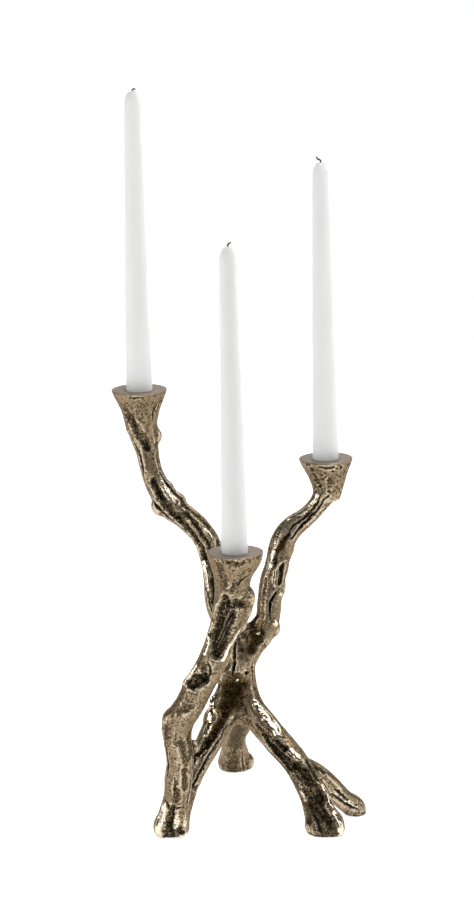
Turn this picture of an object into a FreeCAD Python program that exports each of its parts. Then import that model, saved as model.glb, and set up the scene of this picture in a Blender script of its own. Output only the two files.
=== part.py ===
"""Tabletop candelabra for three taper candles, cast as gnarled branches that cross in one trunk.

Eleven castings are held together by studs and screws: three flared candle cups, three branches, the trunk,
and four roots that end in the feet. Three wax tapers with cotton wicks stand in the cups and lift straight
out, and a felt pad is glued under each foot. Millimetres, +Z up, the front towards -Y, and the origin on the
table, under the middle of the bounding box.
"""

import FreeCAD
import Part
import math
import os
from FreeCAD import Vector

# Driving dimensions
PAD_THICKNESS = 1.0
PAD_SHARE = 0.9
FOOT_BELOW = -3.0
SOCKET_RADIUS = 12.25
SOCKET_DEPTH = 22.0
CUP_HEIGHT = 32.0
RIM_THICKNESS = 1.6
RIM_BEVEL = 0.4
TAPER_BASE_RADIUS = 11.75
TAPER_SHOULDER_RADIUS = 7.7
TAPER_TIP_RADIUS = 1.5
TAPER_LENGTH = 297.0
TAPER_NOSE = 13.0
TAPER_BASE_BEVEL = 0.8
NOSE_MIDDLE_RADIUS = 5.5
NOSE_MIDDLE_DROP = 5.5
WICK_RADIUS = 0.7
WICK_HOLE_RADIUS = 0.8
WICK_START = 0.5
WICK_STRAIGHT = 1.2
SCREW_RADIUS = 2.5
SCREW_HEAD_RADIUS = 5.0
SCREW_HEAD_HEIGHT = 2.8
SCREW_LENGTH = 22.0
RECESS_LENGTH = 5.0
RECESS_WIDTH = 0.9
RECESS_DEPTH = 1.4
STUD_RADIUS = 3.0
STUD_LENGTH = 24.0
THREAD_CLEARANCE = 0.05
HOLE_END_GAP = 0.6
CUTTER_RADIUS = 42.0
CUTTER_LENGTH = 160.0
BOX_TOLERANCE = 0.02
UP = Vector(0, 0, 1)

# Each cup: the rim's centre and radius, the waist as (depth below the rim, sideways shift, radius), and how
# far the socket's mouth is countersunk.
CUPS = {
    "left": (Vector(-89, 125, 393), 25.8, [(10, 0.5, 22.0), (20, 0.8, 17.8), (CUP_HEIGHT, 1.0, 14.8)], 1.6),
    "front": (Vector(-4, -8, 271), 25.2, [(9, 0.2, 22.8), (20, -1.5, 18.0), (CUP_HEIGHT, -3.0, 15.2)], 0.0),
    "right": (Vector(82, 125, 324), 24.8, [(8, 0.3, 21.8), (18, 1.3, 17.5), (CUP_HEIGHT, 1.0, 13.4)], 0.6),
}

# Centre lines of the limbs, as (x, y, z, radius), from the cup or the trunk down.
FRONT_BRANCH = [
    (-7, -8, 239, 15.2),
    (-8, -8, 229, 15.2),
    (-11, -9, 214, 14.8),
    (-18, -10, 193, 13.2),
    (-26, -10, 171, 13.0),
    (-37, -9, 151, 13.4),
    (-47, -8, 131, 13.4),
    (-57, -5, 114, 13.4),
    (-60, -1, 96, 13.0),
    (-58, 3, 74, 12.6),
    (-60, 6, 54, 12.8),
    (-62, 9, 35, 12.9),
    (-65, 11, 18, 14.8),
    (-68, 12, 6, 16.8),
    (-68, 13, FOOT_BELOW, 12.0),
]
LEFT_BRANCH = [
    (-88, 125, 361, 14.8),
    (-86, 125, 350, 13.0),
    (-83, 124, 335, 10.9),
    (-81, 122, 322, 10.2),
    (-76, 120, 307, 10.6),
    (-69, 118, 293, 11.6),
    (-60, 116, 281, 11.8),
    (-48, 114, 272, 11.5),
    (-37, 111, 262, 11.6),
    (-29, 107, 250, 11.6),
    (-24, 102, 233, 11.5),
    (-22, 97, 215, 11.6),
    (-21, 92, 197, 11.4),
    (-15, 88, 179, 11.4),
    (-6, 84, 162, 10.6),
    (-2, 81, 144, 11.6),
    (-2, 80, 126, 12.0),
]
RIGHT_BRANCH = [
    (83, 125, 292, 13.4),
    (80, 124, 286, 11.0),
    (74, 122, 280, 9.0),
    (64, 120, 270, 9.2),
    (52, 118, 262, 10.7),
    (43, 115, 252, 11.6),
    (38, 112, 240, 11.8),
    (34, 108, 226, 11.3),
    (30, 104, 212, 11.8),
    (27, 99, 196, 11.4),
    (25, 94, 180, 11.3),
    (19, 88, 166, 11.0),
    (9, 83, 154, 10.6),
    (1, 80, 142, 12.2),
    (0, 80, 128, 12.2),
]
LEFT_ROOT = [
    (0, 80, 146, 10.5),
    (-3, 79, 134, 12.0),
    (-7, 77, 120, 12.8),
    (-14, 71, 105, 13.6),
    (-21, 63, 92, 13.8),
    (-30, 51, 78, 12.4),
    (-39, 38, 66, 11.4),
    (-47, 27, 53, 10.2),
    (-53, 19, 38, 9.2),
    (-57, 14, 24, 8.6),
    (-60, 12, 11, 8.0),
]
RIGHT_ROOT = [
    (1, 80, 146, 10.5),
    (1, 80, 134, 11.8),
    (2, 78, 118, 12.4),
    (7, 73, 102, 12.4),
    (18, 65, 87, 13.0),
    (30, 54, 75, 12.9),
    (41, 43, 65, 12.6),
    (50, 32, 55, 12.5),
    (57, 22, 43, 12.2),
    (64, 14, 30, 13.0),
    (69, 9, 17, 15.0),
    (74, 4, 6, 17.6),
    (74, 5, FOOT_BELOW, 12.5),
]
BACK_ROOT = [
    (0, 80, 140, 11.0),
    (-1, 82, 122, 12.2),
    (-2, 90, 103, 12.2),
    (-3, 108, 83, 11.8),
    (-4, 130, 66, 11.8),
    (-7, 156, 46, 9.4),
    (-9, 178, 28, 12.2),
    (-9, 194, 13, 15.0),
    (-9, 198, 6, 16.8),
    (-9, 199, FOOT_BELOW, 12.5),
]
SPUR_ROOT = [
    (50, 32, 56, 9.0),
    (58, 38, 51, 10.2),
    (68, 43, 42, 10.8),
    (80, 49, 29, 10.2),
    (91, 53, 16, 9.8),
    (101, 56, 7, 10.8),
    (103, 57, FOOT_BELOW, 9.0),
]

# Rounded burls that stand out of the castings, as (x, y, z, radius).
BURLS = {
    "front": [(5, -8, 228, 9.4), (-61, -5, 114, 13.0), (-62, -4, 105, 12.6), (-45, -9, 149, 11.5)],
    "left": [(-71, 117, 284, 9.8), (-60, 117, 293, 8.8), (-73, 123, 348, 5.8)],
    "trunk": [(28, 91, 170, 9.0), (5, 88, 169, 9.0), (-12, 74, 112, 13.5), (-12, 78, 127, 12.0)],
}

# The stations where one casting is cut from the next, counted along each centre line.
LEFT_BRANCH_JOINT = 13
RIGHT_BRANCH_JOINT = 10
LEFT_ROOT_JOINT = 4
LEFT_ROOT_FOOT_JOINT = 6
RIGHT_ROOT_JOINT = 4
BACK_ROOT_JOINT = 3
SPUR_JOINT = 2

# The burnt end of each wick, as arcs in the XZ plane: (radius, degrees, 1 to turn right or -1 to turn left).
WICK_ENDS = {
    "left": [(1.3, 150, 1)],
    "front": [(3.0, 85, 1)],
    "right": [(2.6, 80, -1), (1.7, 105, 1)],
}


def centre_line(stations):
    """The smooth curve through the stations, and its direction at each of them."""
    curve = Part.BSplineCurve()
    centres = [Vector(*s[:3]) for s in stations]
    curve.interpolate(centres)
    return centres, [curve.tangent(curve.parameter(c))[0].normalize() for c in centres]


def round_section(centre, normal, across, radius):
    circle = Part.Wire(Part.Circle(Vector(), UP, radius).toShape())
    turn = FreeCAD.Rotation(across, normal.cross(across), normal, "ZXY")
    circle.Placement = FreeCAD.Placement(centre, turn)
    return circle


def limb(stations, first=None):
    """A solid through round sections square to the centre line, or to first at its start if that is given."""
    centres, normals = centre_line(stations)
    if first:
        normals[0] = first
    across = Vector(0, 1, 0)
    sections = []
    for centre, normal, station in zip(centres, normals, stations):
        across = (across - normal * across.dot(normal)).normalize()
        sections.append(round_section(centre, normal, across, station[3]))
    return Part.makeLoft(sections, True, False, False, 3)


def cutter_at(stations, index):
    """A cylinder over what lies beyond a station, with the station's centre and direction."""
    centres, normals = centre_line(stations)
    centre, normal = centres[index], normals[index]
    return Part.makeCylinder(CUTTER_RADIUS, CUTTER_LENGTH, centre, normal), centre, normal


def level_cut(shape, height, side):
    """The shape without what lies above the height, if side is 1, or below it, if side is -1."""
    half = shape.BoundBox.DiagonalLength
    corner = shape.BoundBox.Center - Vector(half, half, 0)
    corner.z = height if side > 0 else height - half
    return shape.cut(Part.makeBox(2 * half, 2 * half, half, corner))


def foot_cut(shape):
    """The shape with its foot cut flat where the pad is glued on."""
    return level_cut(shape, PAD_THICKNESS, -1)


def seat_cut(shape, name):
    """The branch cut flat where its cup is seated."""
    return level_cut(shape, CUPS[name][0].z - CUP_HEIGHT, 1)


def with_burls(shape, burls):
    for x, y, z, radius in burls:
        shape = shape.fuse(Part.makeSphere(radius, Vector(x, y, z)))
    return shape


def blind_hole(centre, direction, radius, depth):
    return Part.makeCylinder(radius + THREAD_CLEARANCE, depth + HOLE_END_GAP, centre, direction)


def stud(centre, direction):
    """A threaded stud, shown plain, with half of its length on each side of a joint."""
    return Part.makeCylinder(STUD_RADIUS, STUD_LENGTH, centre - direction * STUD_LENGTH / 2, direction)


def stud_holes(centre, direction):
    half = STUD_LENGTH / 2
    ahead = blind_hole(centre, direction, STUD_RADIUS, half)
    return ahead.fuse(blind_hole(centre, direction * -1, STUD_RADIUS, half))


def cup_body(rim, rim_radius, waist):
    """A flared cup with a flat rim, lofted through level circles down to its joint with the branch."""
    outline = [(0, 0, rim_radius - RIM_BEVEL), (RIM_THICKNESS, 0, rim_radius)] + waist
    sections = []
    for depth, shift, radius in outline:
        centre = rim + Vector(shift, 0, -depth)
        sections.append(Part.Wire(Part.Circle(centre, UP, radius).toShape()))
    return Part.makeLoft(sections, True, False, False, 3)


def cup(rim, rim_radius, waist, countersink):
    body = cup_body(rim, rim_radius, waist)
    floor = rim - UP * SOCKET_DEPTH
    body = body.cut(Part.makeCylinder(SOCKET_RADIUS, SOCKET_DEPTH + 1, floor))
    if countersink:
        mouth_floor = rim - UP * countersink
        mouth = Part.makeCone(SOCKET_RADIUS, SOCKET_RADIUS + countersink, countersink, mouth_floor)
        body = body.cut(mouth)
    return body.cut(screw_room(floor))


def screw_room(floor):
    """The countersunk hole for a cup screw, whose head lies flush with the socket's floor."""
    shank = blind_hole(floor, UP * -1, SCREW_RADIUS, SCREW_LENGTH)
    head = Part.makeCone(SCREW_RADIUS + THREAD_CLEARANCE, SCREW_HEAD_RADIUS + THREAD_CLEARANCE,
                         SCREW_HEAD_HEIGHT, floor - UP * SCREW_HEAD_HEIGHT)
    return shank.fuse(head)


def recess_slot(floor, length, width):
    corner = floor - Vector(length / 2, width / 2, RECESS_DEPTH)
    return Part.makeBox(length, width, RECESS_DEPTH, corner)


def cup_screw(floor):
    """A countersunk screw with a cross recess in its head."""
    head = Part.makeCone(SCREW_RADIUS, SCREW_HEAD_RADIUS, SCREW_HEAD_HEIGHT, floor - UP * SCREW_HEAD_HEIGHT)
    shank = Part.makeCylinder(SCREW_RADIUS, SCREW_LENGTH - SCREW_HEAD_HEIGHT, floor - UP * SCREW_LENGTH)
    one = recess_slot(floor, RECESS_LENGTH, RECESS_WIDTH)
    other = recess_slot(floor, RECESS_WIDTH, RECESS_LENGTH)
    return head.fuse(shank).cut(one.fuse(other))


def taper(base):
    """A wax taper: straight in its socket, then narrowing to a shoulder and a rounded nose."""
    corners = [
        Vector(0, 0, 0),
        Vector(TAPER_BASE_RADIUS - TAPER_BASE_BEVEL, 0, 0),
        Vector(TAPER_BASE_RADIUS, 0, TAPER_BASE_BEVEL),
        Vector(TAPER_BASE_RADIUS, 0, SOCKET_DEPTH),
        Vector(TAPER_SHOULDER_RADIUS, 0, TAPER_LENGTH - TAPER_NOSE),
    ]
    edges = [Part.makeLine(a, b) for a, b in zip(corners, corners[1:])]
    nose_middle = Vector(NOSE_MIDDLE_RADIUS, 0, TAPER_LENGTH - NOSE_MIDDLE_DROP)
    nose_end = Vector(TAPER_TIP_RADIUS, 0, TAPER_LENGTH)
    tip = Vector(0, 0, TAPER_LENGTH)
    edges.append(Part.Arc(corners[-1], nose_middle, nose_end).toShape())
    edges.append(Part.makeLine(nose_end, tip))
    edges.append(Part.makeLine(tip, corners[0]))
    wax = Part.Face(Part.Wire(edges)).revolve(Vector(), UP, 360)
    wax = wax.cut(Part.makeCylinder(WICK_HOLE_RADIUS, TAPER_LENGTH, Vector()))
    wax.translate(base)
    return wax


def arc_on(point, heading, radius, degrees, side):
    """An arc in the XZ plane that leaves point along heading, and its end point and end heading."""
    sweep = math.radians(degrees) * side
    middle, end = [], []
    for share, out in ((0.5, middle), (1.0, end)):
        angle = sweep * share
        chord = 2 * radius * math.sin(abs(angle) / 2)
        direction = heading + angle / 2
        out.append(point + Vector(math.sin(direction), 0, math.cos(direction)) * chord)
    return Part.Arc(point, middle[0], end[0]).toShape(), end[0], heading + sweep


def wick(base, bends):
    """A cotton wick from just above the taper's foot to its burnt, bent end."""
    start = base + UP * WICK_START
    point = base + UP * (TAPER_LENGTH + WICK_STRAIGHT)
    edges = [Part.makeLine(start, point)]
    heading = 0.0
    for radius, degrees, side in bends:
        edge, point, heading = arc_on(point, heading, radius, degrees, side)
        edges.append(edge)
    profile = Part.Wire(Part.Circle(start, UP, WICK_RADIUS).toShape())
    return Part.Wire(edges).makePipeShell([profile], True, False)


def foot_pad(station):
    x, y, _, radius = station
    return Part.makeCylinder(radius * PAD_SHARE, PAD_THICKNESS, Vector(x, y, 0))


def build():
    down = UP * -1
    front = seat_cut(foot_cut(with_burls(limb(FRONT_BRANCH, down), BURLS["front"])), "front")
    left = seat_cut(with_burls(limb(LEFT_BRANCH, down), BURLS["left"]), "left")
    right = seat_cut(limb(RIGHT_BRANCH, down), "right")
    left_root, spur = limb(LEFT_ROOT), foot_cut(limb(SPUR_ROOT))
    right_root, back_root = foot_cut(limb(RIGHT_ROOT)), foot_cut(limb(BACK_ROOT))

    joints = {
        "left_branch": cutter_at(LEFT_BRANCH, LEFT_BRANCH_JOINT),
        "right_branch": cutter_at(RIGHT_BRANCH, RIGHT_BRANCH_JOINT),
        "left_root": cutter_at(LEFT_ROOT, LEFT_ROOT_JOINT),
        "left_root_foot": cutter_at(LEFT_ROOT, LEFT_ROOT_FOOT_JOINT),
        "right_root": cutter_at(RIGHT_ROOT, RIGHT_ROOT_JOINT),
        "back_root": cutter_at(BACK_ROOT, BACK_ROOT_JOINT),
        "spur": cutter_at(SPUR_ROOT, SPUR_JOINT),
    }
    beyond = {name: joint[0] for name, joint in joints.items()}
    trunk = left.common(beyond["left_branch"]).fuse([
        right.common(beyond["right_branch"]), left_root.cut(beyond["left_root"]),
        right_root.cut(beyond["right_root"]), back_root.cut(beyond["back_root"])])
    trunk = with_burls(trunk, BURLS["trunk"])
    castings = {
        "branch_left": left.cut(beyond["left_branch"]),
        "branch_right": right.cut(beyond["right_branch"]),
        "branch_front": front.fuse(left_root.common(beyond["left_root_foot"])),
        "trunk": trunk,
        "root_left": left_root.common(beyond["left_root"]).cut(beyond["left_root_foot"]),
        "root_right": right_root.common(beyond["right_root"]).fuse(spur.cut(beyond["spur"])),
        "root_back": back_root.common(beyond["back_root"]),
        "root_spur": spur.common(beyond["spur"]),
    }
    holes = [stud_holes(centre, direction) for _, centre, direction in joints.values()]
    floors = {name: values[0] - UP * SOCKET_DEPTH for name, values in CUPS.items()}
    holes += [screw_room(floor) for floor in floors.values()]
    nodes = {name: casting.cut(holes) for name, casting in castings.items()}
    nodes["joint_studs"] = Part.makeCompound([stud(centre, way) for _, centre, way in joints.values()])
    nodes["cup_screws"] = Part.makeCompound([cup_screw(floor) for floor in floors.values()])
    for name, (rim, rim_radius, waist, countersink) in CUPS.items():
        nodes["cup_" + name] = cup(rim, rim_radius, waist, countersink)
        nodes["taper_" + name] = taper(floors[name])
        nodes["wick_" + name] = wick(floors[name], WICK_ENDS[name])
    nodes["foot_pad_front_left"] = foot_pad(FRONT_BRANCH[-1])
    nodes["foot_pad_front_right"] = foot_pad(RIGHT_ROOT[-1])
    nodes["foot_pad_spur"] = foot_pad(SPUR_ROOT[-1])
    nodes["foot_pad_back"] = foot_pad(BACK_ROOT[-1])
    return nodes


def centred(nodes):
    """The nodes moved so that the origin is under the middle of their common box."""
    points = [p for shape in nodes.values() for p in shape.tessellate(BOX_TOLERANCE)[0]]
    middle = [(min(p[i] for p in points) + max(p[i] for p in points)) / 2 for i in range(2)]
    for shape in nodes.values():
        shape.translate(Vector(-middle[0], -middle[1], 0))
    print("the centre lines' origin is at", -middle[0], -middle[1])
    return nodes


def main():
    os.makedirs("parts", exist_ok=True)
    for name, shape in sorted(centred(build()).items()):
        print(f"{name:22} solids {len(shape.Solids)} valid {shape.isValid()} volume {shape.Volume:10.1f}")
        shape.exportStep(f"parts/{name}.step")


main()
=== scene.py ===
"""The looks of the tabletop candelabra: its castings, tapers, wicks, felt pads, floor, lights and camera.

Sizes are in millimetres, in the coordinates of the centre lines below. SHIFT moves them to the frame's
origin, and MM turns them into Blender's metres.
"""

import bmesh
import bpy
import math
import numpy as np
import random
from mathutils import Matrix, Vector
from mathutils.bvhtree import BVHTree


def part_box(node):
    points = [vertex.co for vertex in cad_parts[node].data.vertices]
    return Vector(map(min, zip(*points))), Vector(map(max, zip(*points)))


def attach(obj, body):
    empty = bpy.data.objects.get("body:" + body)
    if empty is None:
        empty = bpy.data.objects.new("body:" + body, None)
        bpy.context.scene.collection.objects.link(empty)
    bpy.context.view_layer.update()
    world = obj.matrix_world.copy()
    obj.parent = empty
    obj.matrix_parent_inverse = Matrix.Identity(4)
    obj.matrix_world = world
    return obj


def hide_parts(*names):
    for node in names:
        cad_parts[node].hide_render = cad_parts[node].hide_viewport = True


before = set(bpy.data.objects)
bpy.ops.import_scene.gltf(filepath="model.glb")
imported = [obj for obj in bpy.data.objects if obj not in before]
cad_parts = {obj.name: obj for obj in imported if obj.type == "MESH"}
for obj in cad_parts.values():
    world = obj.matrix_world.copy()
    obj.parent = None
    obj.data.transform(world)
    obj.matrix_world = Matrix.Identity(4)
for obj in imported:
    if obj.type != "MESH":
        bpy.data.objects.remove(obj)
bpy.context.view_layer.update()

MM = 0.001
PAD_THICKNESS = 1.0
PAD_SHARE = 0.9
SOCKET_RADIUS = 12.5
SOCKET_DEPTH = 22.0
CUP_HEIGHT = 32.0
SCREW_HEAD_RADIUS = 5.0
SCREW_HEAD_HEIGHT = 2.8
TAPER_BASE_RADIUS = 12.15
TAPER_SHOULDER_RADIUS = 7.7
TAPER_LENGTH = 297.0
TAPER_NOSE = 13.0
WICK_RADIUS = 0.7
WICK_STRAIGHT = 1.2
BODY_VOXEL = 1.6
SKIN_VOXEL = 0.8

# Where the front left foot's pad is on the centre lines, which gives their place in the frame.
FRONT_LEFT_PAD = (-68.0, 13.0)


def frame_shift():
    low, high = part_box("foot_pad_front_left")
    middle = [(low[i] + high[i]) / 2 / MM for i in range(2)]
    return np.array([middle[0] - FRONT_LEFT_PAD[0], middle[1] - FRONT_LEFT_PAD[1], 0.0])


SHIFT = frame_shift()

# Cups: the rim's centre, the countersink's width, and the outline as (depth, shift to the right, radius).
CUPS = {
    "left": ((-89, 125, 393), 1.6, [
        (0, 0.2, 25.8), (2, 0.2, 25.5), (6, 0.3, 24.0), (11, 0.6, 21.6), (20, 0.8, 17.8), (32, 1.0, 15.0)]),
    "front": ((-4, -8, 271), 0.2, [
        (0, 0.1, 25.3), (2, 0.1, 25.1), (8, 0.7, 23.6), (15, -0.4, 20.8), (22, -1.8, 17.3),
        (32, -3.0, 15.4)]),
    "right": ((82, 125, 324), 0.6, [
        (0, 0, 25.0), (2, 0, 24.7), (6, 0.2, 23.2), (11, 0.6, 20.8), (18, 1.3, 17.7), (25, 1.8, 15.4),
        (32, 1.6, 13.6)]),
}

# The limbs' centre lines as (x, y, z, radius).
LIMBS = {
    "front": [
        (-6, -8, 246, 15.4), (-8, -8, 229, 15.2), (-11, -9, 214, 14.8), (-18, -10, 193, 13.2),
        (-26, -10, 171, 13), (-37, -9, 151, 13.4), (-47, -8, 131, 13.4), (-57, -5, 114, 13.4),
        (-60, -1, 96, 13), (-58, 3, 74, 12.6), (-60, 6, 54, 12.8), (-62, 9, 35, 12.9), (-65, 11, 18, 14.8),
        (-68, 12, 6, 16.8), (-68, 13, -3, 12)],
    "left": [
        (-88, 125, 368, 15.4), (-86, 125, 350, 13), (-83, 124, 335, 10.9), (-81, 122, 322, 10.2),
        (-76, 120, 307, 10.6), (-69, 118, 293, 11.6), (-60, 116, 281, 11.8), (-48, 114, 272, 11.5),
        (-37, 111, 262, 11.6), (-29, 107, 250, 11.6), (-24, 102, 233, 11.5), (-22, 97, 215, 11.6),
        (-21, 92, 197, 11.4), (-15, 88, 179, 11.4), (-6, 84, 162, 10.6), (-2, 81, 144, 11.6),
        (-2, 80, 126, 12)],
    "right": [
        (83, 125, 300, 14.4), (81, 124, 291, 11.4), (74, 122, 280, 9), (64, 120, 270, 9.2),
        (52, 118, 262, 10.7), (43, 115, 252, 11.6), (38, 112, 240, 11.8), (34, 108, 226, 11.3),
        (30, 104, 212, 11.8), (27, 99, 196, 11.4), (25, 94, 180, 11.3), (19, 88, 166, 11),
        (9, 83, 154, 10.6), (1, 80, 142, 12.2), (0, 80, 128, 12.2)],
    "left_root": [
        (0, 80, 146, 10.5), (-3, 79, 134, 12), (-7, 77, 120, 12.8), (-14, 71, 105, 13.6),
        (-21, 63, 92, 13.8), (-30, 51, 78, 12.4), (-39, 38, 66, 11.4), (-47, 27, 53, 10.2),
        (-53, 19, 38, 9.2), (-57, 14, 24, 8.6), (-60, 12, 11, 8)],
    "right_root": [
        (1, 80, 146, 10.5), (1, 80, 134, 11.8), (2, 78, 118, 12.4), (7, 73, 102, 12.4), (18, 65, 87, 13),
        (30, 54, 75, 12.9), (41, 43, 65, 12.6), (50, 32, 55, 12.5), (57, 22, 43, 12.2), (64, 14, 30, 13),
        (69, 9, 17, 15), (74, 4, 6, 17.6), (74, 5, -3, 12.5)],
    "back_root": [
        (0, 80, 140, 11), (-1, 82, 122, 12.2), (-2, 90, 103, 12.2), (-3, 108, 83, 11.8),
        (-4, 130, 66, 11.8), (-7, 156, 46, 9.4), (-9, 178, 28, 12.2), (-9, 194, 13, 15), (-9, 198, 6, 16.8),
        (-9, 199, -3, 12.5)],
    "spur": [
        (50, 32, 56, 9), (58, 38, 51, 10.2), (68, 43, 42, 10.8), (80, 49, 29, 10.2), (91, 53, 16, 9.8),
        (101, 56, 7, 10.8), (103, 57, -3, 9)],
}
# Burls: the place, the radius, and the share of it that they stand out along each axis, if not all of it.
BURLS = [
    ((5, -8, 228), 9, (1, 1, 1.25)), ((2, -8, 218), 9, (1, 1, 1.25)), ((-3, -9, 207), 9, (1, 1, 1.25)),
    ((-61, -5, 114), 13, (1, 0.9, 1)), ((-62, -4, 105), 12.4, (1, 0.9, 1)),
    ((-43, -9, 147), 11.5, (1, 0.9, 1)), ((-71, 117, 284), 9.8), ((-66, 118, 300), 7.5),
    ((-61, 117, 291), 8.2), ((-58.5, 117, 286), 11.2, (1, 0.9, 1)), ((-74, 123, 349), 5.4, (1, 1, 1.5)),
    ((28, 92, 171), 9), ((41, 113, 244), 10.9, (1, 0.9, 1.3)), ((35.5, 108, 227), 10.6, (1, 0.9, 1.5)),
    ((32, 103, 209), 10.7, (1, 0.9, 1.5)), ((5, 88, 169), 9, (1, 0.9, 1)), ((16, 91, 176), 7),
    ((-12, 74, 112), 14.2, (1, 0.8, 1)), ((-12, 78, 127), 12, (1, 0.8, 1)),
    ((-9, 75, 97), 13, (1.2, 0.8, 1)), ((3, 75, 96), 13, (1.2, 0.8, 1)), ((-3, 70, 98), 13, (1.1, 0.8, 1)),
    ((-18, 69, 104), 13.4, (1, 0.9, 1)), ((-24, 61, 93), 13.4, (1, 0.9, 1)), ((-46, 10, 84), 7),
    ((-49, 24, 68), 9), ((1, 196, 8), 9.5), ((70, 5, 8), 16.4, (1, 0.9, 0.8)),
]

# Marks in the castings: the kind, the depth, and points of (station, angle, width). The station is counted
# along the limb's centre line, or is the depth below a cup's rim. The angle is in degrees, from the front (0)
# towards the right.
MARKS = {}
MARKS["front"] = [
    ("hollow", 3.4, (0.9, -24, 4.5), (1.4, -17, 8.5), (2, -12, 11), (3, -6, 10), (3.45, -1, 8)),
    ("trough", 1.8, (1.2, -6, 5), (1.15, 14, 6.5), (1.15, 32, 6.5), (1.25, 44, 4.5)),
    ("rib", 2.2, (1.5, 6, 1.8), (2.2, -6, 2.2), (3, -14, 1.8)),
    ("rib", 1.3, (2, 14, 1.4), (2.7, 4, 1.7), (3.3, 0, 1.4)), ("rib", 1, (1.4, -58, 1.8), (2.2, -64, 2.2)),
    ("ridge", 1.2, (2.5, -64, 2.2), (3, -60, 2.4)), ("facet", 1, (3, -56, 3), (3.7, -48, 3.2)),
    ("ridge", 1.6, (2.4, 58, 2.4), (3, 48, 3)), ("facet", 1, (3.1, 44, 2.8), (3.7, 34, 2.8)),
    ("hollow", 3.6, (5, -38, 8), (4.65, -4, 6.5)),
    ("facet", 1, (4.4, -66, 2.6), (4.9, -72, 3.2), (5.3, -70, 2.6)),
    ("groove", 1, (3.9, -34, 1.3), (4.1, -6, 1.6), (4.4, 10, 1.6), (4.8, 16, 1.3)),
    ("patch", 0.4, (4.2, -34, 5), (4.4, -8, 5)),
    ("groove", 1.5, (4.8, 66, 1.6), (5.4, 70, 1.8), (6.2, 74, 1.6)),
    ("patch", 0.4, (5.9, 2, 4), (6.1, -14, 6), (6.4, -30, 5)), ("patch", 0.6, (7.2, -48, 5), (7.7, -50, 5)),
    ("patch", 0.4, (7.4, 56, 4), (8.6, 60, 4.5)), ("patch", 0.4, (7.9, -5, 4)),
    ("groove", 2, (7.8, 78, 2.4), (9, 74, 2.6), (10.4, 60, 2.4), (11, 50, 1.8)),
    ("valley", 1.2, (7.9, 18, 5), (8.9, 28, 5.5)), ("valley", 1.1, (9.2, 22, 5), (10.1, 32, 5)),
    ("groove", 1, (8, -58, 2.4), (8.8, -60, 2.8), (9.6, -58, 2.4)),
    ("groove", 0.8, (9.6, -16, 1.2), (10.1, -13, 1.6), (10.6, -16, 1.5)),
    ("patch", 0.5, (10.2, -4, 4), (10.9, -4, 5)),
    ("groove", 1.2, (11, -54, 1.8), (11.3, -14, 2.6), (11.1, 20, 1.4)),
    ("hollow", 2.4, (11.2, -12, 3.4), (12, -17, 5), (13, -4, 7), (13.6, 0, 8)),
    ("facet", 1.2, (11.4, -50, 5), (12.2, -50, 6), (13.2, -44, 6)),
    ("glitter", 0.3, (11.6, 10, 3), (12.2, 12, 4.4)), ("glitter", 0.3, (11.7, 46, 3), (12.2, 48, 3.6)),
    ("hollow", 1.2, (12.5, 26, 3.6), (12.8, 40, 3.2)), ("facet", 0.6, (13.3, 20, 2.4), (13.2, 48, 2.4)),
    ("groove", 1, (2, 150, 1.8), (4, 165, 2), (6, 150, 1.8)), ("hollow", 2, (7, 170, 6), (7.5, 160, 5)),
    ("groove", 1.2, (8, 175, 1.8), (9.5, 190, 2), (11, 180, 1.8)),
    ("hollow", 2.2, (2.6, 178, 6), (3.6, 170, 7), (4.4, 172, 5)),
    ("valley", 1.2, (9, 120, 4), (10.5, 128, 4.5), (12, 120, 4)),
]
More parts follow.
